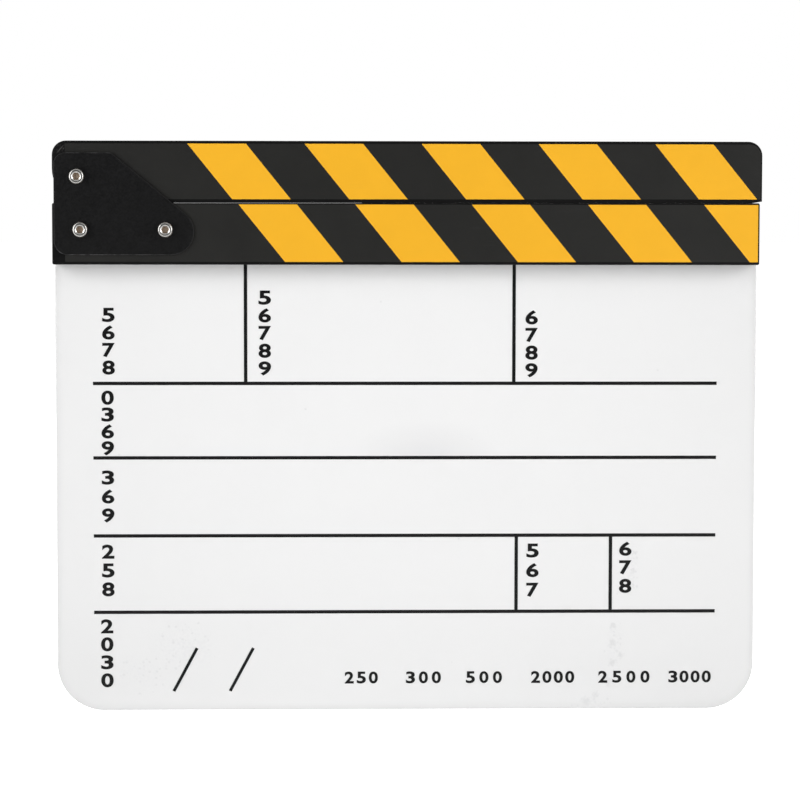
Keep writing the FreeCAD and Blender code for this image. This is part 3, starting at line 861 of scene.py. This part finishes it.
floor = {
    "size": 30.0,
    "colour": (0.7, 0.7, 0.7, 1),
    "speckleScale": 300.0,
    "speckleTone": (0.3, 0.7, 0.98, 1.0),
    "glow": 1.0,
    "shadeHalf": 85 * mm,     # the shadow behind the foot is full over this half length
    "shadeSide": 50 * mm,     # it fades over these lengths sideways and backwards
    "shadeDepth": 260 * mm,
    "shadeGlow": 0.15,
    "near": 0.4,              # it mirrors white this near, and as the walls do from further off
    "far": 1.2,
}
surround = {
    "ambient": 0.1,
    "dark": 0.03,             # mirrored from the unlit room in front
    "bright": 0.7,            # mirrored from the white walls at the sides and behind
    "darkFrom": -0.99,        # how squarely a ray has to face the front
    "darkTo": -0.6,
    "lean": 0.35,             # how far the unlit part lies to the left
}
softboxes = {                 # degrees, metres and watts
    "leftSoftbox": {
        "azimuth": -51, "elevation": 10, "distance": 1.5, "size": (1.0, 1.35), "power": 18.2,
    },
    "rightSoftbox": {
        "azimuth": 51, "elevation": 10, "distance": 1.5, "size": (1.0, 1.35), "power": 17.2,
    },
    "rearSoftbox": {
        "azimuth": 165, "elevation": 30, "distance": 1.6, "size": (1.2, 1.2), "power": 20.0,
    },
}
middle = (cadBox[0] + cadBox[1]) / 2


def outward(azimuth, elevation):
    return Vector((
        math.sin(azimuth) * math.cos(elevation),
        -math.cos(azimuth) * math.cos(elevation),
        math.sin(elevation),
    ))


def seenRays(tree):
    # 1 for rays that show the surroundings themselves, then 1 for those that mirror them
    rays = addNode(tree, "ShaderNodeLightPath").outputs
    seen = calc(tree, "MAXIMUM", rays["Is Camera Ray"], rays["Is Transmission Ray"])
    return seen, rays["Is Glossy Ray"]


def mirroredLevel(tree, direction):
    # how bright the surroundings are in a mirror that shows them in this direction
    parts = separated(tree, direction)
    depth = calc(tree, "MULTIPLY_ADD", parts["X"], surround["lean"], parts["Y"])
    span = (surround["darkFrom"], surround["darkTo"])
    return remap(tree, depth, *span, surround["dark"], surround["bright"])


def footShade(tree, place):
    # 1 along the middle of the foot, fading behind it and towards the corners, 0 in front
    parts = separated(tree, place)
    beyond = calc(tree, "SUBTRACT", calc(tree, "ABSOLUTE", parts["X"]), floor["shadeHalf"])
    sideways = calc(tree, "DIVIDE", calc(tree, "MAXIMUM", beyond, 0.0), floor["shadeSide"])
    backwards = calc(tree, "DIVIDE", parts["Y"], floor["shadeDepth"])
    span = addNode(tree, "ShaderNodeCombineXYZ", {"X": sideways, "Y": backwards}).outputs["Vector"]
    fading = remap(tree, lengthOf(tree, span), 1.0, 0.0)
    behind = calc(tree, "GREATER_THAN", parts["Y"], 0.0)
    return calc(tree, "MULTIPLY", calc(tree, "MULTIPLY", fading, fading), behind)


def floorFinish():
    # matt for the light it passes on, and a glow of its own where it is seen or mirrored
    material = bpy.data.materials.new("studioFloor")
    material.use_nodes = True
    tree = material.node_tree
    tree.nodes.remove(tree.nodes["Principled BSDF"])
    place = addNode(tree, "ShaderNodeTexCoord").outputs["Object"]
    speckle = remap(tree, noise(tree, place, floor["speckleScale"]), *floor["speckleTone"])
    colour = blendColour(tree, 1.0, floor["colour"], speckle, "MULTIPLY")
    matt = addNode(tree, "ShaderNodeBsdfDiffuse", {"Color": colour}).outputs[0]
    seen, mirrored = seenRays(tree)
    away = addNode(tree, "ShaderNodeVectorMath", {0: place}, operation="NORMALIZE").outputs["Vector"]
    whiteness = remap(tree, footShade(tree, place), 0.0, 1.0, floor["glow"], floor["shadeGlow"])
    further = remap(tree, lengthOf(tree, place), floor["near"], floor["far"])
    dim = calc(tree, "SUBTRACT", mirroredLevel(tree, away), surround["bright"])
    reflection = calc(tree, "MULTIPLY_ADD", further, dim, surround["bright"])
    shown = calc(tree, "MULTIPLY_ADD", seen, whiteness, calc(tree, "MULTIPLY", mirrored, reflection))
    glow = addNode(tree, "ShaderNodeEmission", {"Strength": shown}).outputs[0]
    both = addNode(tree, "ShaderNodeAddShader", {0: matt, 1: glow}).outputs[0]
    tree.links.new(both, tree.nodes["Material Output"].inputs["Surface"])
    return material


def makeFloor():
    shape = bmesh.new()
    bmesh.ops.create_grid(shape, x_segments=1, y_segments=1, size=floor["size"] / 2)
    bmesh.ops.translate(shape, verts=shape.verts, vec=(0, 0, cadBox[0].z))
    mesh = bpy.data.meshes.new("studioFloor")
    shape.to_mesh(mesh)
    shape.free()
    piece = bpy.data.objects.new("studioFloor", mesh)
    scene.collection.objects.link(piece)
    piece.visible_shadow = False      # the softboxes reach below it
    mesh.materials.append(floorFinish())


def makeSurround():
    world = bpy.data.worlds.new("studioSurround")
    scene.world = world
    world.use_nodes = True
    tree = world.node_tree
    facing = addNode(tree, "ShaderNodeTexCoord").outputs["Generated"]
    seen, mirrored = seenRays(tree)
    dim = calc(tree, "SUBTRACT", mirroredLevel(tree, facing), surround["ambient"])
    level = calc(tree, "MULTIPLY_ADD", mirrored, dim, surround["ambient"])
    strength = calc(tree, "MAXIMUM", seen, level)
    backdrop = tree.nodes["Background"]
    backdrop.inputs["Color"].default_value = (1, 1, 1, 1)
    tree.links.new(strength, backdrop.inputs["Strength"])


def addSoftbox(name):
    box = softboxes[name]
    lamp = bpy.data.lights.new(name, "AREA")
    lamp.shape = "RECTANGLE"
    lamp.size, lamp.size_y = box["size"]
    lamp.energy = box["power"]
    holder = bpy.data.objects.new(name, lamp)
    scene.collection.objects.link(holder)
    back = outward(math.radians(box["azimuth"]), math.radians(box["elevation"]))
    holder.location = middle + back * box["distance"]
    holder.rotation_mode = "QUATERNION"
    holder.rotation_quaternion = back.to_track_quat("Z", "Y")
    holder.visible_camera = False


makeFloor()
makeSurround()
for name in softboxes:
    addSoftbox(name)
print("studio:", len(softboxes), "softboxes")


# Camera, as the photograph was taken

photoCamera = {
    "target": (-2.86 * mm, 0, 133.69 * mm),
    "azimuth": math.radians(-1.57),
    "elevation": math.radians(3.852),
    "roll": math.radians(0.075),
    "distance": 1250 * mm,
    "lens": 131.02,
    "sensor": 36.0,
}


def makeCamera():
    lens = bpy.data.cameras.new("photoCamera")
    lens.lens = photoCamera["lens"]
    lens.sensor_width = photoCamera["sensor"]
    holder = bpy.data.objects.new("photoCamera", lens)
    scene.collection.objects.link(holder)
    back = outward(photoCamera["azimuth"], photoCamera["elevation"])
    holder.location = Vector(photoCamera["target"]) + back * photoCamera["distance"]
    holder.rotation_mode = "QUATERNION"
    roll = Quaternion((0, 0, 1), photoCamera["roll"])
    holder.rotation_quaternion = back.to_track_quat("Z", "Y") @ roll
    scene.camera = holder


makeCamera()
print("camera:", [round(x, 3) for x in scene.camera.location])
